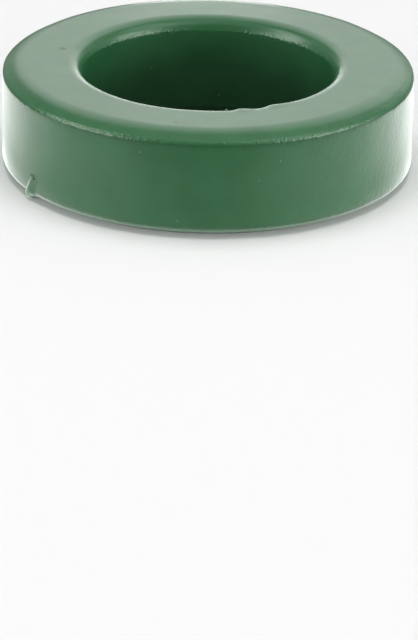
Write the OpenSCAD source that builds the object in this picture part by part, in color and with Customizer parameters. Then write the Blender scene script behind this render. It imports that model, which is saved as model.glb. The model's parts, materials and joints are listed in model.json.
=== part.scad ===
/* [Ring] */
// Outside diameter, over the coating
outer_d = 31; // [27:0.5:60]
// Bore diameter, over the coating
bore_d = 19; // [8:0.5:22]
// Height from one flat face to the other
height = 8.1; // [5:0.1:25]

/* [Outer corners] */
// Width of the pressed bevel, along the face
outer_bevel_w = 1.1; // [1:0.05:1.8]
// Drop of the pressed bevel, down the outer wall
outer_bevel_h = 0.62; // [0.4:0.02:0.9]
// Radius of the soft blend from the flat face into the bevel
outer_face_r = 3.3; // [1.5:0.1:3.6]
// Radius of the tight blend from the bevel into the outer wall
outer_edge_r = 0.42; // [0.2:0.02:0.6]

/* [Bore corners] */
// Width of the pressed bevel, along the face
bore_bevel_w = 0.55; // [0.3:0.05:1]
// Drop of the pressed bevel, down the bore
bore_bevel_h = 0.9; // [0.6:0.05:1.3]
// Radius of the soft blend from the flat face into the bevel
bore_face_r = 1.2; // [0.2:0.05:1.4]
// Radius of the tight blend from the bevel into the bore
bore_edge_r = 0.35; // [0.1:0.05:0.9]

/* [Coating drip] */
// Bearing of the drip's tip on the outer wall, in degrees round the bore axis from +X
drip_bearing = 211.5; // [0:0.5:359.5]
// Lean of the drip along the wall, in degrees from upright
drip_lean = 25; // [0:1:30]
// Width of the drip at its full lower end
drip_w = 0.95; // [0.6:0.05:1.4]
// Width of the drip at its thin upper end
drip_neck_w = 0.5; // [0.3:0.05:0.55]
// Distance that the drip stands out of the outer wall
drip_out = 0.18; // [0.1:0.01:0.24]
// Gap between the tip of the drip and the plane of the lower face
drip_tip_z = 0.04; // [0.02:0.01:0.3]
// Length of the drip, from its tip to its upper end
drip_len = 2; // [1.45:0.05:2.2]
// Diameter of the bubble of coating at the upper end of the drip
bubble_d = 0.7; // [0.4:0.05:0.9]
// Distance that the bubble stands out of the outer wall
bubble_out = 0.15; // [0.08:0.01:0.19]

/* [Hidden] */
// Steps in each blend of the section
blend_steps = 7;
// Steps round the lower end of the drip
tip_steps = 8;
// Roundness of the revolved shapes
$fn = 128;

outer_r = outer_d / 2;
bore_r = bore_d / 2;
drip_r = drip_w / 2;
neck_r = drip_neck_w / 2;
bubble_r = bubble_d / 2;

function unit(v) = v / norm(v);

// Points of the arc of radius r that rounds corner b of the path a, b, c
function blend(a, b, c, r) =
    let (
        u = unit(a - b),
        v = unit(c - b),
        half = acos(u * v) / 2,
        centre = b + unit(u + v) * r / sin(half),
        first = b + u * r / tan(half) - centre,
        last = b + v * r / tan(half) - centre,
        sweep = acos(unit(first) * unit(last))
    )
    [for (i = [0 : blend_steps])
        let (t = i / blend_steps)
        centre + (first * sin(sweep * (1 - t)) + last * sin(sweep * t)) / sin(sweep)];

// Upper outer corner of the section, from the flat face to the middle of the wall
function outer_corner() =
    let (
        on_face = [outer_r - outer_bevel_w, height],
        on_wall = [outer_r, height - outer_bevel_h],
        across = [(outer_r + bore_r) / 2, height],
        below = [outer_r, height / 2]
    )
    concat(blend(across, on_face, on_wall, outer_face_r), blend(on_face, on_wall, below, outer_edge_r));

// Upper bore corner of the section, from the middle of the bore to the flat face
function bore_corner() =
    let (
        on_face = [bore_r + bore_bevel_w, height],
        on_bore = [bore_r, height - bore_bevel_h],
        across = [(outer_r + bore_r) / 2, height],
        below = [bore_r, height / 2]
    )
    concat(blend(below, on_bore, on_face, bore_edge_r), blend(on_bore, on_face, across, bore_face_r));

function upside_down(points) =
    [for (i = [len(points) - 1 : -1 : 0]) [points[i][0], height - points[i][1]]];

// The pressed and fired ring: both faces are pressed to one form, so the section is symmetric
module ring() {
    upper = concat(bore_corner(), outer_corner());
    rotate_extrude()
        polygon(concat(upper, upside_down(upper)));
}

// Half outline of the drip: a round tip that tapers to a thin upper end, from the middle of the tip
module drip_outline() {
    tip = [for (i = [0 : tip_steps])
        let (a = -90 + 90 * i / tip_steps)
        drip_r * [cos(a), sin(a)]];
    top = drip_len - drip_r;
    polygon(concat(tip, [[neck_r, top - neck_r], [0, top]]));
}

// Coating that ran down the wall and set at its lower edge, with a bubble at its upper end
module drip() {
    rotate(drip_bearing)
        translate([outer_r, 0, drip_tip_z + drip_r])
            rotate([-drip_lean, 0, 0]) {
                translate([drip_out - drip_r, 0, 0])
                    rotate_extrude()
                        drip_outline();
                translate([bubble_out - bubble_r, 0, drip_len - drip_r])
                    sphere(r = bubble_r);
            }
}

// Ferrite ring in a thin green coating, pressed, fired and coated as one piece
module toroid_core() {
    color("seagreen")
        union() {
            ring();
            drip();
        }
}

toroid_core();
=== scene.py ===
import json
import math

import bmesh
import bpy
from mathutils import Matrix, Vector, noise


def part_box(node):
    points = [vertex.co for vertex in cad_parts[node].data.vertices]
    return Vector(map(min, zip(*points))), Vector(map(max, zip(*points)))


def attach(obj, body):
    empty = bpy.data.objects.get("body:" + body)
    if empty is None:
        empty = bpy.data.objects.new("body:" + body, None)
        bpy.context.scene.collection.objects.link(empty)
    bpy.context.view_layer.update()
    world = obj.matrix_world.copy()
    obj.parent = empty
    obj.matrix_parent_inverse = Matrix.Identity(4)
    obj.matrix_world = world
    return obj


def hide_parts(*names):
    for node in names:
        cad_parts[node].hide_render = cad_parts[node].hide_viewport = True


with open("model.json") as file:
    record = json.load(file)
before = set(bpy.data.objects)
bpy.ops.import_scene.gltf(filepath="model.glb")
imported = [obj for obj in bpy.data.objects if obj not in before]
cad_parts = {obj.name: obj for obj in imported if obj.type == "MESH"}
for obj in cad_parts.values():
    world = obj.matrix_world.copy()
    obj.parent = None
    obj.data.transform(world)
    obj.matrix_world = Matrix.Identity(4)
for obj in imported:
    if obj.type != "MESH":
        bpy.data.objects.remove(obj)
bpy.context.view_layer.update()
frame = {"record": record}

# Ferrite ring
# Ferrite powder pressed in a die, fired to a hard ceramic and tumbled. Each outer corner has a shallow
# bevel, and each bore corner rolls softly off the flat face and then drops steeply into the bore.
MM = 0.001
core_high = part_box("toroid_core")[1]
core_h = core_high.z
core_r = core_high.x
bore = next(mount for mount in frame["record"]["mounts"] if mount["name"] == "bore")
bore_r = bore["dims"]["r_mm"] * MM

OUTER_BEVEL_W = 1.1 * MM
OUTER_BEVEL_H = 0.62 * MM
OUTER_FACE_ROUND = 2.4 * MM
OUTER_EDGE_ROUND = 0.42 * MM
BORE_ROLL_W = 1.0 * MM
BORE_ROLL_ROUND = 1.4 * MM
BORE_TURN_W = 0.29 * MM
BORE_TURN_H = 0.25 * MM
BORE_TURN_ROUND = 0.76 * MM
BORE_BEVEL_H = 0.9 * MM
BORE_EDGE_ROUND = 0.35 * MM
TURNS = 480
SECTION_STEP = 0.2 * MM
WELD = 0.001 * MM

outer_slope = math.atan2(OUTER_BEVEL_H, OUTER_BEVEL_W)
bore_slope = math.atan2(BORE_BEVEL_H - BORE_TURN_H, BORE_TURN_W)
roll_slope = math.atan2(BORE_TURN_H, BORE_ROLL_W - BORE_TURN_W)

ring = bmesh.new()
half_section = [
    (bore_r, BORE_BEVEL_H),
    (bore_r + BORE_TURN_W, BORE_TURN_H),
    (bore_r + BORE_ROLL_W, 0),
    (core_r - OUTER_BEVEL_W, 0),
    (core_r, OUTER_BEVEL_H),
]
lower = [ring.verts.new((r, 0, z)) for r, z in half_section]
upper = [ring.verts.new((r, 0, core_h - z)) for r, z in half_section]
ring.faces.new(lower + upper[::-1])

rounding = [
    (0, BORE_EDGE_ROUND, math.pi / 2 - bore_slope, 4),
    (1, BORE_TURN_ROUND, bore_slope - roll_slope, 6),
    (2, BORE_ROLL_ROUND, roll_slope, 7),
    (3, OUTER_FACE_ROUND, outer_slope, 10),
    (4, OUTER_EDGE_ROUND, math.pi / 2 - outer_slope, 8),
]
for corner, radius, turn, steps in rounding:
    bmesh.ops.bevel(
        ring,
        geom=[lower[corner], upper[corner]],
        offset=radius * math.tan(turn / 2),
        offset_type="OFFSET",
        affect="VERTICES",
        segments=steps,
        profile=0.5,
        material=-1,
    )
for edge in list(ring.edges):
    cuts = math.ceil(edge.calc_length() / SECTION_STEP) - 1
    if cuts > 0:
        bmesh.ops.subdivide_edges(ring, edges=[edge], cuts=cuts)

bmesh.ops.delete(ring, geom=list(ring.faces), context="FACES_ONLY")
bmesh.ops.spin(
    ring,
    geom=list(ring.verts) + list(ring.edges),
    cent=(0, 0, 0),
    axis=(0, 0, 1),
    angle=2 * math.pi,
    steps=TURNS,
    use_merge=True,
)
bmesh.ops.remove_doubles(ring, verts=list(ring.verts), dist=WELD)
bmesh.ops.recalc_face_normals(ring, faces=list(ring.faces))

# Drip and lumps
# Epoxy ran down the wall and set as a leaning drip at its lower edge, with a bubble at its upper end. Two
# lumps on the upper bore edge with a dip between them, and soft waves all over, come from it too.
DRIP_BEARING = math.radians(211.5)
DRIP_LEAN = math.radians(25)
DRIP_R = 0.475 * MM
DRIP_NECK_R = 0.36 * MM
DRIP_OUT = 0.18 * MM
DRIP_TIP_Z = 0.04 * MM
DRIP_LENGTH = 2.0 * MM
DRIP_SPREAD = 1.2
DRIP_FILLET = 0.12 * MM
DRIP_REGION = 2.8 * MM
DRIP_CUTS = 3
BUBBLE_R = 0.35 * MM
BUBBLE_OUT = 0.12 * MM
BUBBLE_FLAT = 0.72
GROOVE_DEPTH = 0.04 * MM
GROOVE_WIDTH = 0.07 * MM

drip_z = DRIP_TIP_Z + DRIP_R
drip_centre = Vector((core_r * math.cos(DRIP_BEARING), core_r * math.sin(DRIP_BEARING), drip_z))
drip_top = DRIP_LENGTH - DRIP_R
bubble_rim = math.sqrt(BUBBLE_R**2 - (BUBBLE_R - BUBBLE_OUT) ** 2)

near_drip = [
    edge
    for edge in ring.edges
    if max((vert.co - drip_centre).length for vert in edge.verts) < DRIP_REGION
]
bmesh.ops.subdivide_edges(ring, edges=near_drip, cuts=DRIP_CUTS, use_grid_fill=True)


def swell(distance, reach):
    return math.exp(-((distance / reach) ** 2))


def soft_step(low, high, value):
    t = min(1.0, max(0.0, (value - low) / (high - low)))
    return t * t * (3 - 2 * t)


def filleted(a, b, fillet):
    overlap = max(0.0, fillet - abs(a - b)) / fillet
    return max(a, b) + overlap * overlap * fillet / 4


def bearing_of(place):
    return math.atan2(place.y, place.x) % (2 * math.pi)


def dome(radius, out, distance):
    if distance >= radius:
        return -core_r
    return out - radius + math.sqrt(radius**2 - distance**2)


def leaning(along, z):
    rise = z - drip_z
    across = along * math.cos(DRIP_LEAN) - rise * math.sin(DRIP_LEAN)
    up = rise * math.cos(DRIP_LEAN) + along * math.sin(DRIP_LEAN)
    return across, up


def drip_stand_out(across, up):
    if across > 0:
        across /= 1 + DRIP_SPREAD * soft_step(0, DRIP_R, up)
    half_width = DRIP_R + (DRIP_NECK_R - DRIP_R) * soft_step(0, drip_top, up)
    from_axis = math.hypot(across, up if up < 0 else max(0.0, up - drip_top))
    return dome(half_width, DRIP_OUT + half_width - DRIP_R, from_axis)


groove_share = ring.verts.layers.float.new("groove_share")
for vert in ring.verts:
    along = (bearing_of(vert.co) - DRIP_BEARING) * core_r
    r = math.hypot(vert.co.x, vert.co.y)
    if abs(along) > DRIP_REGION or r < core_r - 2 * OUTER_BEVEL_W or vert.co.z > DRIP_REGION + drip_z:
        continue
    across, up = leaning(along, vert.co.z)
    wall = filleted(r, core_r + drip_stand_out(across, up), DRIP_FILLET)
    from_bubble = math.hypot(across, up - drip_top)
    if from_bubble < bubble_rim:
        fall = soft_step(BUBBLE_FLAT * bubble_rim, bubble_rim, from_bubble)
        wall = max(wall, core_r + BUBBLE_OUT * (1 - fall))
    # The groove round the bubble also carries painted shade into the coating's colour.
    vert[groove_share] = swell(from_bubble - bubble_rim, GROOVE_WIDTH)
    new_r = wall - GROOVE_DEPTH * vert[groove_share]
    vert.co.x *= new_r / r
    vert.co.y *= new_r / r

WAVE_HEIGHT = 0.012 * MM
WAVE_LENGTH = 1.7 * MM
LUMP_INSET = 0.55 * MM
LUMP_DEPTH = 0.5 * MM
LUMPS = [
    (math.radians(283.0), 0.32 * MM, 0.9 * MM, 0.11 * MM),
    (math.radians(289.6), 0.5 * MM, 0.4 * MM, -0.04 * MM),
    (math.radians(297.2), 0.4 * MM, 1.4 * MM, 0.13 * MM),
]
OUTER_BEADED = 0.4 * MM
CALM_ENDS = 0.6
BORE_BEADED = 0.2 * MM
# A thin line on the wall just past each outer bevel gets painted shade, for the dark the edge mirrors there.
SHADE_LINE_REACH = 0.18 * MM
SHADE_LINE_DROP = 0.25 * MM
SHADE_LINE_STRENGTH = 0.4
STREAK_FROM = math.radians(264)
STREAK_FULL = math.radians(308)
STREAK_DEPTH = 0.02 * MM

edge_share = ring.verts.layers.float.new("edge_share")
painted_shade_share = ring.verts.layers.float.new("painted_shade_share")
streak_share = ring.verts.layers.float.new("streak_share")
ring.normal_update()
normals = {vert: vert.normal.copy() for vert in ring.verts}
for vert, normal in normals.items():
    place = vert.co.copy()
    r = math.hypot(place.x, place.y)
    bearing = bearing_of(place)
    on_bore_edge = swell(math.hypot(r - bore_r - LUMP_INSET, core_h - place.z), LUMP_DEPTH)
    height = noise.noise(place / WAVE_LENGTH) * WAVE_HEIGHT
    for lump_bearing, before, after, lump_height in LUMPS:
        along = (bearing - lump_bearing) * bore_r
        height += lump_height * on_bore_edge * swell(along, before if along < 0 else after)
    vert.co = place + normal * height
    vert.co.z = max(0.0, vert.co.z)
    from_face = min(place.z, core_h - place.z)
    outer_edge = math.hypot(r - core_r, from_face - OUTER_BEVEL_H)
    bore_edge = math.hypot(r - bore_r, from_face - BORE_BEVEL_H)
    calm = 1 - CALM_ENDS * (place.x / r) ** 4
    vert[edge_share] = max(calm * swell(outer_edge, OUTER_BEADED), swell(bore_edge, BORE_BEADED))
    # Painted shade along the line just past each outer bevel, and in the bubble's groove.
    under_edge = math.hypot(r - core_r, from_face - OUTER_BEVEL_H - SHADE_LINE_DROP)
    vert[painted_shade_share] = max(SHADE_LINE_STRENGTH * swell(under_edge, SHADE_LINE_REACH), vert[groove_share])
    on_wall = soft_step(core_r - OUTER_BEVEL_W, core_r - STREAK_DEPTH, r)
    vert[streak_share] = on_wall * soft_step(STREAK_FROM, STREAK_FULL, bearing)

core_mesh = bpy.data.meshes.new("coated_core")
ring.to_mesh(core_mesh)
ring.free()
core_mesh.shade_smooth()
coated_core = bpy.data.objects.new("coated_core", core_mesh)
bpy.context.scene.collection.objects.link(coated_core)
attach(coated_core, "root")
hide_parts("toroid_core")

# Green epoxy
# A satin, slightly cloudy deep green with an orange peel. It beads along the crisp edges and runs in leaning
# streaks over one part of the wall. Painted shade darkens a thin line on the wall past each outer bevel and
# the groove round the bubble.
DEEP_GREEN = (0.016, 0.087, 0.030, 1)
CLOUDY_GREEN = (0.021, 0.103, 0.038, 1)
CLOUD_FROM = 0.3
CLOUD_FULL = 0.7
CLOUD_SIZE = 2.5 * MM
EPOXY_IOR = 1.52
SMOOTHEST = 0.27
ROUGHEST = 0.33
PEEL_SIZE = 0.3 * MM
PEEL_HEIGHT = 0.0022 * MM
BEAD_SIZE = 0.28 * MM
BEAD_HEIGHT = 0.08 * MM
STREAK_LEAN = Vector((0.4, 0.4, 0.8))
STREAK_SIZE = 0.3 * MM
STREAK_STRETCH = 1.8
STREAK_HEIGHT = 0.022 * MM
PAINTED_SHADE_DEPTH = 0.6


def mottle(tree, place, size, detail):
    texture = tree.nodes.new("ShaderNodeTexNoise")
    texture.inputs["Scale"].default_value = 1 / size
    texture.inputs["Detail"].default_value = detail
    tree.links.new(place, texture.inputs["Vector"])
    return texture.outputs["Fac"]


def share(tree, name):
    attribute = tree.nodes.new("ShaderNodeAttribute")
    attribute.attribute_name = name
    return attribute.outputs["Fac"]


def between(tree, low, high, amount):
    span = tree.nodes.new("ShaderNodeMapRange")
    span.inputs["To Min"].default_value = low
    span.inputs["To Max"].default_value = high
    tree.links.new(amount, span.inputs["Value"])
    return span.outputs["Result"]


def shaded(tree, colour, brightness):
    shade = tree.nodes.new("ShaderNodeHueSaturation")
    tree.links.new(colour, shade.inputs["Color"])
    tree.links.new(brightness, shade.inputs["Value"])
    return shade.outputs["Color"]


def relief(tree, pattern, height):
    bump = tree.nodes.new("ShaderNodeBump")
    bump.inputs["Distance"].default_value = height
    tree.links.new(pattern, bump.inputs["Height"])
    return bump


coat = bpy.data.materials.new("green_epoxy")
coat.use_nodes = True
tree = coat.node_tree
links = tree.links
shader = tree.nodes["Principled BSDF"]
shader.inputs["IOR"].default_value = EPOXY_IOR
on_core = tree.nodes.new("ShaderNodeTexCoord").outputs["Object"]

tint = tree.nodes.new("ShaderNodeValToRGB")
tint.color_ramp.elements[0].position = CLOUD_FROM
tint.color_ramp.elements[0].color = DEEP_GREEN
tint.color_ramp.elements[1].position = CLOUD_FULL
tint.color_ramp.elements[1].color = CLOUDY_GREEN
links.new(mottle(tree, on_core, CLOUD_SIZE, 3), tint.inputs["Fac"])
# Painted shade: the base colour is darkened along the line past each outer bevel and in the bubble's groove.
painted_shading = between(tree, 1, 1 - PAINTED_SHADE_DEPTH, share(tree, "painted_shade_share"))
links.new(shaded(tree, tint.outputs["Color"], painted_shading), shader.inputs["Base Color"])

peel = mottle(tree, on_core, PEEL_SIZE, 1)
links.new(between(tree, SMOOTHEST, ROUGHEST, peel), shader.inputs["Roughness"])
peel_relief = relief(tree, peel, PEEL_HEIGHT)

bead_relief = relief(tree, mottle(tree, on_core, BEAD_SIZE, 2), BEAD_HEIGHT)
links.new(share(tree, "edge_share"), bead_relief.inputs["Strength"])
links.new(peel_relief.outputs["Normal"], bead_relief.inputs["Normal"])

lean = tree.nodes.new("ShaderNodeMapping")
lean.vector_type = "TEXTURE"
lean.inputs["Rotation"].default_value = STREAK_LEAN.to_track_quat("Z", "Y").to_euler()
lean.inputs["Scale"].default_value = (1, 1, STREAK_STRETCH)
links.new(on_core, lean.inputs["Vector"])
streak_relief = relief(tree, mottle(tree, lean.outputs["Vector"], STREAK_SIZE, 1), STREAK_HEIGHT)
links.new(share(tree, "streak_share"), streak_relief.inputs["Strength"])
links.new(bead_relief.outputs["Normal"], streak_relief.inputs["Normal"])
links.new(streak_relief.outputs["Normal"], shader.inputs["Normal"])
core_mesh.materials.append(coat)

# Nibs and pinholes
# Dust that set in the epoxy stands as pale nibs, and gas left a few dark pinholes. Each is a flat grain,
# half sunk in the wall, the bore or the upper face.
NIBS = [
    ("wall", 251.6, 6.45, 0.09, 0.2),
    ("wall", 262.0, 1.40, 0.08, 0.2),
    ("wall", 283.8, 4.49, 0.07, 0.2),
    ("wall", 289.6, 5.89, 0.08, 0.2),
    ("bore", 142.5, 7.12, 0.09, 0.2),
    ("bore", 117.6, 4.41, 0.10, 0.2),
    ("bore", 84.4, 1.80, 0.09, 0.2),
    ("face", 277.3, 10.25, 0.08, 0.2),
]
PINHOLES = [
    ("wall", 255.9, 1.79, 0.09, 0.2),
    ("face", 259.7, 13.08, 0.11, 0.1),
    ("face", 167.6, 11.3, 0.3, 0.012),
]
PALE_DUST = (0.055, 0.15, 0.085, 1)
DARK_PINHOLE = (0.016, 0.08, 0.028, 1)
GRAIN_ROUGHNESS = 0.36
GRAIN_DARKEST = 0.7
GRAIN_PALEST = 1.3


def add_grain(mesh, surface, bearing, other, radius, flatness):
    a = math.radians(bearing)
    outward = Vector((math.cos(a), math.sin(a), 0))
    if surface == "face":
        centre, facing = outward * other * MM + Vector((0, 0, core_h)), Vector((0, 0, 1))
    elif surface == "wall":
        centre, facing = outward * core_r + Vector((0, 0, other * MM)), outward
    else:
        centre, facing = outward * bore_r + Vector((0, 0, other * MM)), -outward
    turn = facing.to_track_quat("Z", "Y").to_matrix().to_4x4()
    size = Matrix.Diagonal((radius * MM, radius * MM, radius * MM * flatness, 1))
    matrix = Matrix.Translation(centre) @ turn @ size
    bmesh.ops.create_icosphere(mesh, subdivisions=2, radius=1, matrix=matrix)


grains = bmesh.new()
for nib in NIBS:
    add_grain(grains, *nib)
pale_faces = len(grains.faces)
for pinhole in PINHOLES:
    add_grain(grains, *pinhole)
for number, face in enumerate(grains.faces):
    face.material_index = 0 if number < pale_faces else 1
    face.smooth = True
grain_mesh = bpy.data.meshes.new("coating_grains")
grains.to_mesh(grain_mesh)
grains.free()
coating_grains = bpy.data.objects.new("coating_grains", grain_mesh)
bpy.context.scene.collection.objects.link(coating_grains)
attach(coating_grains, "root")

mottled = bpy.data.node_groups.new("mottled_grain", "ShaderNodeTree")
mottled.interface.new_socket("Place", in_out="INPUT", socket_type="NodeSocketVector")
mottled.interface.new_socket("Colour", in_out="INPUT", socket_type="NodeSocketColor")
mottled.interface.new_socket("Mottled Colour", in_out="OUTPUT", socket_type="NodeSocketColor")
given = mottled.nodes.new("NodeGroupInput").outputs
made = mottled.nodes.new("NodeGroupOutput").inputs
patches = between(mottled, GRAIN_DARKEST, GRAIN_PALEST, mottle(mottled, given["Place"], PEEL_SIZE, 2))
mottled.links.new(shaded(mottled, given["Colour"], patches), made["Mottled Colour"])

for name, colour in (("pale_dust", PALE_DUST), ("dark_pinhole", DARK_PINHOLE)):
    grain_coat = bpy.data.materials.new(name)
    grain_coat.use_nodes = True
    tree = grain_coat.node_tree
    shader = tree.nodes["Principled BSDF"]
    shader.inputs["Roughness"].default_value = GRAIN_ROUGHNESS
    patchy = tree.nodes.new("ShaderNodeGroup")
    patchy.node_tree = mottled
    patchy.inputs["Colour"].default_value = colour
    on_grain = tree.nodes.new("ShaderNodeTexCoord").outputs["Object"]
    tree.links.new(on_grain, patchy.inputs["Place"])
    tree.links.new(patchy.outputs["Mottled Colour"], shader.inputs["Base Color"])
    grain_mesh.materials.append(grain_coat)

# Camera
# A long lens looks down at the ring from about twenty-four degrees and stands very slightly askew. The
# ring is at the top of an upright picture, and the bare table runs on below it.
CAMERA_ELEVATION = math.radians(23.82)
CAMERA_ROLL = math.radians(0.98)
CAMERA_DISTANCE = core_r / 0.0516
CAMERA_SIDE = 0.0023 * core_r
CAMERA_AIM_Z = core_h - 1.3721 * core_r
PIXELS_PER_OUTER_R = 200.16
IMAGE_HEIGHT = 640

camera_data = bpy.data.cameras.new("camera")
camera_data.lens = camera_data.sensor_width * PIXELS_PER_OUTER_R * CAMERA_DISTANCE / core_r / IMAGE_HEIGHT
camera_data.clip_start = 0.01
camera_data.clip_end = 20
camera = bpy.data.objects.new("camera", camera_data)
bpy.context.scene.collection.objects.link(camera)
away = Vector((0, -math.cos(CAMERA_ELEVATION), math.sin(CAMERA_ELEVATION)))
stand = Matrix.Translation(Vector((CAMERA_SIDE, 0, CAMERA_AIM_Z)) + away * CAMERA_DISTANCE)
pitch = Matrix.Rotation(math.pi / 2 - CAMERA_ELEVATION, 4, "X")
ring_top = Matrix.Translation((0, 0, core_h))
askew = ring_top @ Matrix.Rotation(-CAMERA_ROLL, 4, "Y") @ ring_top.inverted()
camera.matrix_world = askew @ stand @ pitch
bpy.context.scene.camera = camera

# Table
# A white table top that keeps the ring's soft shadow. Inside the bore it is painted dark grey for bounced
# light, as painted shade. For mirrored rays it glows with painted light like a studio floor: dark in front,
# bright from the sides to the back, with a painted light line round the ring's foot.
TABLE_SIZE = 3.0
TABLE_GREY = 0.68
BORE_SHADE_GREY = 0.2
TABLE_GLOW = 0.1
FAR_OUT = 80 * MM
FRONT_EDGE = 38 * MM
FRONT_FADE = 12 * MM
FRONT_REST = 0.1
MIRROR_STRENGTH = 3.4
SIDE_CHANGE = 0.3
OUTWARDS = [(0.195, 0.62), (0.25, 0.82), (0.31, 0.95), (0.39, 1.0), (0.47, 0.4), (0.6, 0.05)]
FRONT_TO_BACK = [(0.0, 0.16), (0.07, 0.34), (0.17, 0.42), (0.27, 0.5), (0.42, 0.75), (0.6, 1.0)]
FOOT_STRENGTH = 4.0
FOOT_LINE = [(0.12, 0.01), (0.185, 0.02), (0.192, 0.5), (0.2, 0.6), (0.208, 0.3), (0.222, 0.04), (0.24, 0.0)]

table_bm = bmesh.new()
bmesh.ops.create_grid(table_bm, x_segments=1, y_segments=1, size=TABLE_SIZE / 2)
table_mesh = bpy.data.meshes.new("table")
table_bm.to_mesh(table_mesh)
table_bm.free()
table = bpy.data.objects.new("table", table_mesh)
bpy.context.scene.collection.objects.link(table)


def maths(tree, operation, *values):
    node = tree.nodes.new("ShaderNodeMath")
    node.operation = operation
    for value, socket in zip(values, node.inputs):
        if isinstance(value, float):
            socket.default_value = value
        else:
            tree.links.new(value, socket)
    return node.outputs[0]


def grey_ramp(tree, value, stops):
    ramp = tree.nodes.new("ShaderNodeValToRGB")
    elements = ramp.color_ramp.elements
    while len(elements) < len(stops):
        elements.new(0.5)
    for element, (position, grey) in zip(elements, stops):
        element.position = position
        element.color = (grey, grey, grey, 1)
    tree.links.new(value, ramp.inputs["Fac"])
    return ramp.outputs["Color"]


def picked(tree, share_of_second, first, second):
    mix = tree.nodes.new("ShaderNodeMixShader")
    for value, socket in zip((share_of_second, first, second), mix.inputs):
        tree.links.new(value, socket)
    return mix.outputs["Shader"]


white = bpy.data.materials.new("table_white")
white.use_nodes = True
tree = white.node_tree
links = tree.links
shader = tree.nodes["Principled BSDF"]
shader.inputs["Roughness"].default_value = 0.8
shader.inputs["Specular IOR Level"].default_value = 0
path = tree.nodes.new("ShaderNodeLightPath")
on_table = tree.nodes.new("ShaderNodeTexCoord").outputs["Object"]
split = tree.nodes.new("ShaderNodeSeparateXYZ")
links.new(on_table, split.inputs[0])
from_axis = tree.nodes.new("ShaderNodeVectorMath")
from_axis.operation = "LENGTH"
links.new(on_table, from_axis.inputs[0])
radius = from_axis.outputs["Value"]

# Inside the bore, bounced light sees the table painted dark grey: painted shade for a deep bore.
in_open = maths(tree, "GREATER_THAN", radius, bore_r)
pale = maths(tree, "MAXIMUM", in_open, path.outputs["Is Camera Ray"])
table_grey = maths(tree, "MULTIPLY_ADD", pale, TABLE_GREY - BORE_SHADE_GREY, BORE_SHADE_GREY)
links.new(table_grey, shader.inputs["Base Color"])

# Painted reflection: the table glows for mirrored rays, with a painted light line round the ring's foot.
outwards = maths(tree, "DIVIDE", radius, FAR_OUT)
backwards = maths(tree, "DIVIDE", split.outputs["Y"], radius)
sideways = maths(tree, "DIVIDE", split.outputs["X"], radius)
front_to_back = maths(tree, "MULTIPLY_ADD", backwards, 0.5, 0.5)
past_front = tree.nodes.new("ShaderNodeMapRange")
past_front.interpolation_type = "SMOOTHSTEP"
past_front.inputs["From Min"].default_value = -FRONT_EDGE
past_front.inputs["From Max"].default_value = FRONT_FADE - FRONT_EDGE
past_front.inputs["To Min"].default_value = FRONT_REST
links.new(split.outputs["Y"], past_front.inputs["Value"])
strength = maths(tree, "MULTIPLY_ADD", sideways, SIDE_CHANGE, MIRROR_STRENGTH)
strength = maths(tree, "MULTIPLY", strength, past_front.outputs["Result"])
outwards_tone = grey_ramp(tree, outwards, OUTWARDS)
front_to_back_tone = grey_ramp(tree, front_to_back, FRONT_TO_BACK)
floor_tone = maths(tree, "MULTIPLY", outwards_tone, front_to_back_tone)
floor = maths(tree, "MULTIPLY", floor_tone, strength)
past_core = maths(tree, "GREATER_THAN", radius, core_r)
foot = maths(tree, "MULTIPLY", grey_ramp(tree, outwards, FOOT_LINE), FOOT_STRENGTH)
mirror_glow = tree.nodes.new("ShaderNodeEmission")
links.new(maths(tree, "MULTIPLY_ADD", floor, past_core, foot), mirror_glow.inputs["Strength"])

camera_glow = tree.nodes.new("ShaderNodeEmission")
links.new(maths(tree, "MULTIPLY", in_open, TABLE_GLOW), camera_glow.inputs["Strength"])
to_camera = tree.nodes.new("ShaderNodeAddShader")
links.new(shader.outputs["BSDF"], to_camera.inputs[0])
links.new(camera_glow.outputs["Emission"], to_camera.inputs[1])
seen = picked(tree, path.outputs["Is Camera Ray"], shader.outputs["BSDF"], to_camera.outputs["Shader"])
look = picked(tree, path.outputs["Is Glossy Ray"], seen, mirror_glow.outputs["Emission"])
links.new(look, tree.nodes["Material Output"].inputs["Surface"])
table_mesh.materials.append(white)

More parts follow.
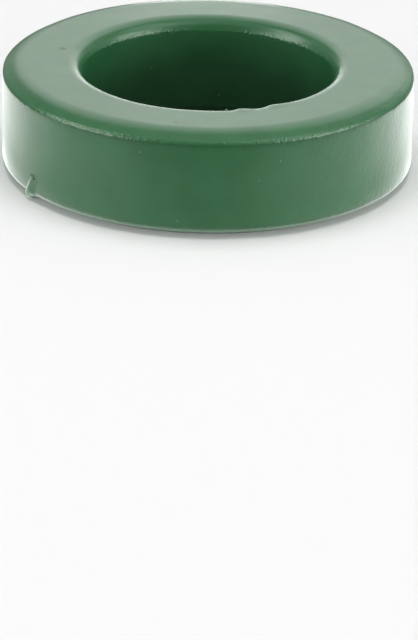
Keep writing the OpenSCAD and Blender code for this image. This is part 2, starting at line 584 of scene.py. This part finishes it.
# Light
# A white tent stands round the table, open on the camera's side. The panel, the strip and the boxes of the
# first list are only mirrored in the coating, and the boxes of the second list only light it.
TENT_FILL = 0.5
TENT_TONES = [(0.0, 0.0), (0.07, 0.02), (0.17, 0.4), (0.3, 0.55), (0.55, 0.5), (0.8, 0.45), (1.0, 0.7)]
TENT_SIDES = 0.3
FAR = 0.6
NEAR = 0.061
MIRRORED = [
    ("back_panel", 174, 36, FAR, 0.48, 0.5, 1.25),
    ("rim_strip", 180, 11.1, NEAR, 0.014, 0.0065, 5.5),
    ("left_box", -69, 11, FAR, 0.46, 0.28, 5.6),
    ("left_high_box", -88, 38, FAR, 0.26, 0.34, 4.0),
    ("right_box", 68, 12, FAR, 0.46, 0.28, 5.6),
    ("right_high_box", 66, 52, FAR, 0.52, 0.34, 1.5),
]
LIGHTING = [
    ("front_box", 0, 7, FAR, 0.6, 0.25, 2.1),
    ("left_low_box", -72, 5, FAR, 0.4, 0.25, 9.0),
    ("right_low_box", 70, 5, FAR, 0.4, 0.25, 10.6),
    ("top_box", 0, 90, FAR, 0.4, 0.4, 5.4),
]

world = bpy.data.worlds.new("tent")
bpy.context.scene.world = world
world.use_nodes = True
tree = world.node_tree
links = tree.links
direction = tree.nodes.new("ShaderNodeTexCoord")
split = tree.nodes.new("ShaderNodeSeparateXYZ")
links.new(direction.outputs["Generated"], split.inputs[0])
front_to_back = maths(tree, "MULTIPLY_ADD", split.outputs["Y"], 0.5, 0.5)
tent = tree.nodes["Background"]
links.new(grey_ramp(tree, front_to_back, TENT_TONES), tent.inputs["Color"])
links.new(maths(tree, "MULTIPLY_ADD", split.outputs["X"], TENT_SIDES, 1.0), tent.inputs["Strength"])
fill = tree.nodes.new("ShaderNodeBackground")
fill.inputs["Strength"].default_value = TENT_FILL
path = tree.nodes.new("ShaderNodeLightPath")
surround = picked(tree, path.outputs["Is Diffuse Ray"], tent.outputs[0], fill.outputs[0])
links.new(surround, tree.nodes["World Output"].inputs["Surface"])


def soft_box(name, azimuth, elevation, distance, width, height, radiance, mirrored):
    lamp = bpy.data.lights.new(name, "AREA")
    lamp.shape = "RECTANGLE"
    lamp.size = width
    lamp.size_y = height
    lamp.energy = radiance * width * height * math.pi
    box = bpy.data.objects.new(name, lamp)
    a, e = math.radians(azimuth), math.radians(elevation)
    towards = Vector((math.sin(a) * math.cos(e), -math.cos(a) * math.cos(e), math.sin(e)))
    box.location = towards * distance
    box.rotation_euler = towards.to_track_quat("Z", "Y").to_euler()
    box.visible_camera = False
    box.visible_glossy = mirrored
    box.visible_diffuse = not mirrored
    bpy.context.scene.collection.objects.link(box)


for row in MIRRORED:
    soft_box(*row, mirrored=True)
for row in LIGHTING:
    soft_box(*row, mirrored=False)

bpy.context.scene.view_settings.view_transform = "Standard"
